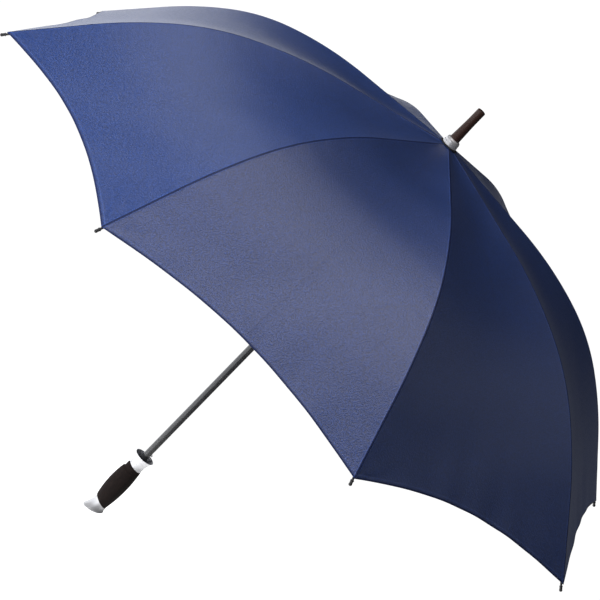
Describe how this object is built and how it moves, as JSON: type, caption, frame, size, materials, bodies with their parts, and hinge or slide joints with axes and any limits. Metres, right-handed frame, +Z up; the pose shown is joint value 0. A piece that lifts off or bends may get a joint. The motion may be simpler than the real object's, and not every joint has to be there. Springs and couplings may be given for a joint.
{
  "type": "golf umbrella",
  "caption": "Open golf umbrella: scalloped cloth canopy on folding ribs, tube shaft with sliding runner, push-button catch, foam grip with tip cup.",
  "frame": {"origin": "centre of the hand grip, on the shaft axis", "axes": "+Z up the shaft to the ferrule; the thumb side of the handle and its push button face -X"},
  "size_m": [1.2186, 1.2186, 0.9601],
  "materials": {
    "canopy_cloth": "satin woven polyester",
    "rib_steel": "satin black",
    "rib_fibre": "semi-gloss black glass-fibre rod",
    "black_shaft": "gloss black",
    "frame_nylon": "moulded nylon",
    "ferrule_nylon": "ribbed dark brown plastic",
    "satin_silver": "satin silver lacquer on moulded plastic",
    "rosette_black": "matt black",
    "grip_foam": "closed-cell foam",
    "button_black": "fine moulded plastic",
    "spring_steel": "drawn wire",
    "bare_steel": "pressed"
  },
  "bodies": {
    "handle_and_shaft": {"ferrule": "ferrule_nylon", "top_cap": "satin_silver", "rosette": "rosette_black", "crown": "frame_nylon", "crown_wire": "spring_steel", "shaft": "black_shaft", "handle_core": "frame_nylon", "collar": "satin_silver", "grip": "grip_foam", "end_cap": "satin_silver", "button_spring": "spring_steel", "catch_pin": "spring_steel", "spring_seat": "bare_steel", "opening_spring": "spring_steel"},
    "rib_1": {"rib_inner_1": "rib_steel", "canopy_1": "canopy_cloth"},
    "rib_end_1": {"rib_outer_1": "rib_fibre", "rib_tip_1": "button_black"},
    "stretcher_1": {"stretcher_1": "rib_steel"},
    "rib_2": {"rib_inner_2": "rib_steel", "canopy_2": "canopy_cloth"},
    "rib_end_2": {"rib_outer_2": "rib_fibre", "rib_tip_2": "button_black"},
    "stretcher_2": {"stretcher_2": "rib_steel"},
    "rib_3": {"rib_inner_3": "rib_steel", "canopy_3": "canopy_cloth"},
    "rib_end_3": {"rib_outer_3": "rib_fibre", "rib_tip_3": "button_black", "tie_strap": "canopy_cloth"},
    "stretcher_3": {"stretcher_3": "rib_steel"},
    "rib_4": {"rib_inner_4": "rib_steel", "canopy_4": "canopy_cloth"},
    "rib_end_4": {"rib_outer_4": "rib_fibre", "rib_tip_4": "button_black"},
    "stretcher_4": {"stretcher_4": "rib_steel"},
    "rib_5": {"rib_inner_5": "rib_steel", "canopy_5": "canopy_cloth"},
    "rib_end_5": {"rib_outer_5": "rib_fibre", "rib_tip_5": "button_black"},
    "stretcher_5": {"stretcher_5": "rib_steel"},
    "rib_6": {"rib_inner_6": "rib_steel", "canopy_6": "canopy_cloth"},
    "rib_end_6": {"rib_outer_6": "rib_fibre", "rib_tip_6": "button_black"},
    "stretcher_6": {"stretcher_6": "rib_steel"},
    "rib_7": {"rib_inner_7": "rib_steel", "canopy_7": "canopy_cloth"},
    "rib_end_7": {"rib_outer_7": "rib_fibre", "rib_tip_7": "button_black"},
    "stretcher_7": {"stretcher_7": "rib_steel"},
    "rib_8": {"rib_inner_8": "rib_steel", "canopy_8": "canopy_cloth"},
    "rib_end_8": {"rib_outer_8": "rib_fibre", "rib_tip_8": "button_black"},
    "stretcher_8": {"stretcher_8": "rib_steel"},
    "runner": {"runner": "frame_nylon", "runner_wire": "spring_steel", "spring_follower": "frame_nylon"},
    "button": {"push_button": "button_black"},
    "catch": {"catch_lever": "bare_steel"}
  },
  "joints": [
    {"name": "fold_1", "type": "hinge", "parent": "handle_and_shaft", "child": "rib_1", "pos_m": [0.01016, 0.00421, 0.809], "axis": [-0.3827, 0.9239, 0], "range_deg": [0, 76.67], "stiffness_Nm_per_rad": 1.2, "springref_deg": -114.59, "deforming": ["canopy_1", "opening_spring"]},
    {"name": "knee_1", "type": "hinge", "parent": "rib_1", "child": "rib_end_1", "pos_m": [0.32824, 0.13596, 0.73577], "axis": [-0.3827, 0.9239, 0], "range_deg": [-24.81, 0]},
    {"name": "stretch_1", "type": "hinge", "parent": "rib_1", "child": "stretcher_1", "pos_m": [0.31779, 0.13163, 0.73422], "axis": [-0.3827, 0.9239, 0], "range_deg": [-153.39, 0]},
    {"name": "fold_2", "type": "hinge", "parent": "handle_and_shaft", "child": "rib_2", "pos_m": [0.00421, 0.01016, 0.809], "axis": [-0.9239, 0.3827, 0], "range_deg": [0, 76.67], "deforming": ["canopy_2"]},
    {"name": "knee_2", "type": "hinge", "parent": "rib_2", "child": "rib_end_2", "pos_m": [0.13596, 0.32824, 0.73577], "axis": [-0.9239, 0.3827, 0], "range_deg": [-24.81, 0]},
    {"name": "stretch_2", "type": "hinge", "parent": "rib_2", "child": "stretcher_2", "pos_m": [0.13163, 0.31779, 0.73422], "axis": [-0.9239, 0.3827, 0], "range_deg": [-153.39, 0]},
    {"name": "fold_3", "type": "hinge", "parent": "handle_and_shaft", "child": "rib_3", "pos_m": [-0.00421, 0.01016, 0.809], "axis": [-0.9239, -0.3827, 0], "range_deg": [0, 76.67], "deforming": ["canopy_3", "tie_strap"]},
    {"name": "knee_3", "type": "hinge", "parent": "rib_3", "child": "rib_end_3", "pos_m": [-0.13596, 0.32824, 0.73577], "axis": [-0.9239, -0.3827, 0], "range_deg": [-24.81, 0]},
    {"name": "stretch_3", "type": "hinge", "parent": "rib_3", "child": "stretcher_3", "pos_m": [-0.13163, 0.31779, 0.73422], "axis": [-0.9239, -0.3827, 0], "range_deg": [-153.39, 0]},
    {"name": "fold_4", "type": "hinge", "parent": "handle_and_shaft", "child": "rib_4", "pos_m": [-0.01016, 0.00421, 0.809], "axis": [-0.3827, -0.9239, 0], "range_deg": [0, 76.67], "deforming": ["canopy_4"]},
    {"name": "knee_4", "type": "hinge", "parent": "rib_4", "child": "rib_end_4", "pos_m": [-0.32824, 0.13596, 0.73577], "axis": [-0.3827, -0.9239, 0], "range_deg": [-24.81, 0]},
    {"name": "stretch_4", "type": "hinge", "parent": "rib_4", "child": "stretcher_4", "pos_m": [-0.31779, 0.13163, 0.73422], "axis": [-0.3827, -0.9239, 0], "range_deg": [-153.39, 0]},
    {"name": "fold_5", "type": "hinge", "parent": "handle_and_shaft", "child": "rib_5", "pos_m": [-0.01016, -0.00421, 0.809], "axis": [0.3827, -0.9239, 0], "range_deg": [0, 76.67], "deforming": ["canopy_5"]},
    {"name": "knee_5", "type": "hinge", "parent": "rib_5", "child": "rib_end_5", "pos_m": [-0.32824, -0.13596, 0.73577], "axis": [0.3827, -0.9239, 0], "range_deg": [-24.81, 0]},
    {"name": "stretch_5", "type": "hinge", "parent": "rib_5", "child": "stretcher_5", "pos_m": [-0.31779, -0.13163, 0.73422], "axis": [0.3827, -0.9239, 0], "range_deg": [-153.39, 0]},
    {"name": "fold_6", "type": "hinge", "parent": "handle_and_shaft", "child": "rib_6", "pos_m": [-0.00421, -0.01016, 0.809], "axis": [0.9239, -0.3827, 0], "range_deg": [0, 76.67], "deforming": ["canopy_6"]},
    {"name": "knee_6", "type": "hinge", "parent": "rib_6", "child": "rib_end_6", "pos_m": [-0.13596, -0.32824, 0.73577], "axis": [0.9239, -0.3827, 0], "range_deg": [-24.81, 0]},
    {"name": "stretch_6", "type": "hinge", "parent": "rib_6", "child": "stretcher_6", "pos_m": [-0.13163, -0.31779, 0.73422], "axis": [0.9239, -0.3827, 0], "range_deg": [-153.39, 0]},
    {"name": "fold_7", "type": "hinge", "parent": "handle_and_shaft", "child": "rib_7", "pos_m": [0.00421, -0.01016, 0.809], "axis": [0.9239, 0.3827, 0], "range_deg": [0, 76.67], "deforming": ["canopy_7"]},
    {"name": "knee_7", "type": "hinge", "parent": "rib_7", "child": "rib_end_7", "pos_m": [0.13596, -0.32824, 0.73577], "axis": [0.9239, 0.3827, 0], "range_deg": [-24.81, 0]},
    {"name": "stretch_7", "type": "hinge", "parent": "rib_7", "child": "stretcher_7", "pos_m": [0.13163, -0.31779, 0.73422], "axis": [0.9239, 0.3827, 0], "range_deg": [-153.39, 0]},
    {"name": "fold_8", "type": "hinge", "parent": "handle_and_shaft", "child": "rib_8", "pos_m": [0.01016, -0.00421, 0.809], "axis": [0.3827, 0.9239, 0], "range_deg": [0, 76.67], "deforming": ["canopy_8"]},
    {"name": "knee_8", "type": "hinge", "parent": "rib_8", "child": "rib_end_8", "pos_m": [0.32824, -0.13596, 0.73577], "axis": [0.3827, 0.9239, 0], "range_deg": [-24.81, 0]},
    {"name": "stretch_8", "type": "hinge", "parent": "rib_8", "child": "stretcher_8", "pos_m": [0.31779, -0.13163, 0.73422], "axis": [0.3827, 0.9239, 0], "range_deg": [-153.39, 0]},
    {"name": "runner_slide", "type": "hinge", "parent": "stretcher_1", "child": "runner", "pos_m": [0.01016, 0.00421, 0.65943], "axis": [-0.3827, 0.9239, 0], "range_deg": [0, 76.72]},
    {"name": "button_press", "type": "slide", "parent": "handle_and_shaft", "child": "button", "axis": [1, 0, 0], "range_m": [0, 0.002], "stiffness_N_per_m": 900, "springref_m": -0.002, "deforming": ["button_spring"]},
    {"name": "catch_rock", "type": "hinge", "parent": "handle_and_shaft", "child": "catch", "pos_m": [0, 0, 0.056], "axis": [0, -1, 0], "range_deg": [0, 7]}
  ],
  "couplings": [
    {"joint": "knee_1", "follows": "fold_1", "ratio": -0.32297},
    {"joint": "stretch_1", "follows": "fold_1", "ratio": -2},
    {"joint": "fold_2", "follows": "fold_1", "ratio": 1},
    {"joint": "knee_2", "follows": "fold_1", "ratio": -0.32297},
    {"joint": "stretch_2", "follows": "fold_1", "ratio": -2},
    {"joint": "fold_3", "follows": "fold_1", "ratio": 1},
    {"joint": "knee_3", "follows": "fold_1", "ratio": -0.32297},
    {"joint": "stretch_3", "follows": "fold_1", "ratio": -2},
    {"joint": "fold_4", "follows": "fold_1", "ratio": 1},
    {"joint": "knee_4", "follows": "fold_1", "ratio": -0.32297},
    {"joint": "stretch_4", "follows": "fold_1", "ratio": -2},
    {"joint": "fold_5", "follows": "fold_1", "ratio": 1},
    {"joint": "knee_5", "follows": "fold_1", "ratio": -0.32297},
    {"joint": "stretch_5", "follows": "fold_1", "ratio": -2},
    {"joint": "fold_6", "follows": "fold_1", "ratio": 1},
    {"joint": "knee_6", "follows": "fold_1", "ratio": -0.32297},
    {"joint": "stretch_6", "follows": "fold_1", "ratio": -2},
    {"joint": "fold_7", "follows": "fold_1", "ratio": 1},
    {"joint": "knee_7", "follows": "fold_1", "ratio": -0.32297},
    {"joint": "stretch_7", "follows": "fold_1", "ratio": -2},
    {"joint": "fold_8", "follows": "fold_1", "ratio": 1},
    {"joint": "knee_8", "follows": "fold_1", "ratio": -0.32297},
    {"joint": "stretch_8", "follows": "fold_1", "ratio": -2},
    {"joint": "runner_slide", "follows": "fold_1", "ratio": 1},
    {"joint": "catch_rock", "follows": "button_press", "rad_per_m": 60.7}
  ]
}
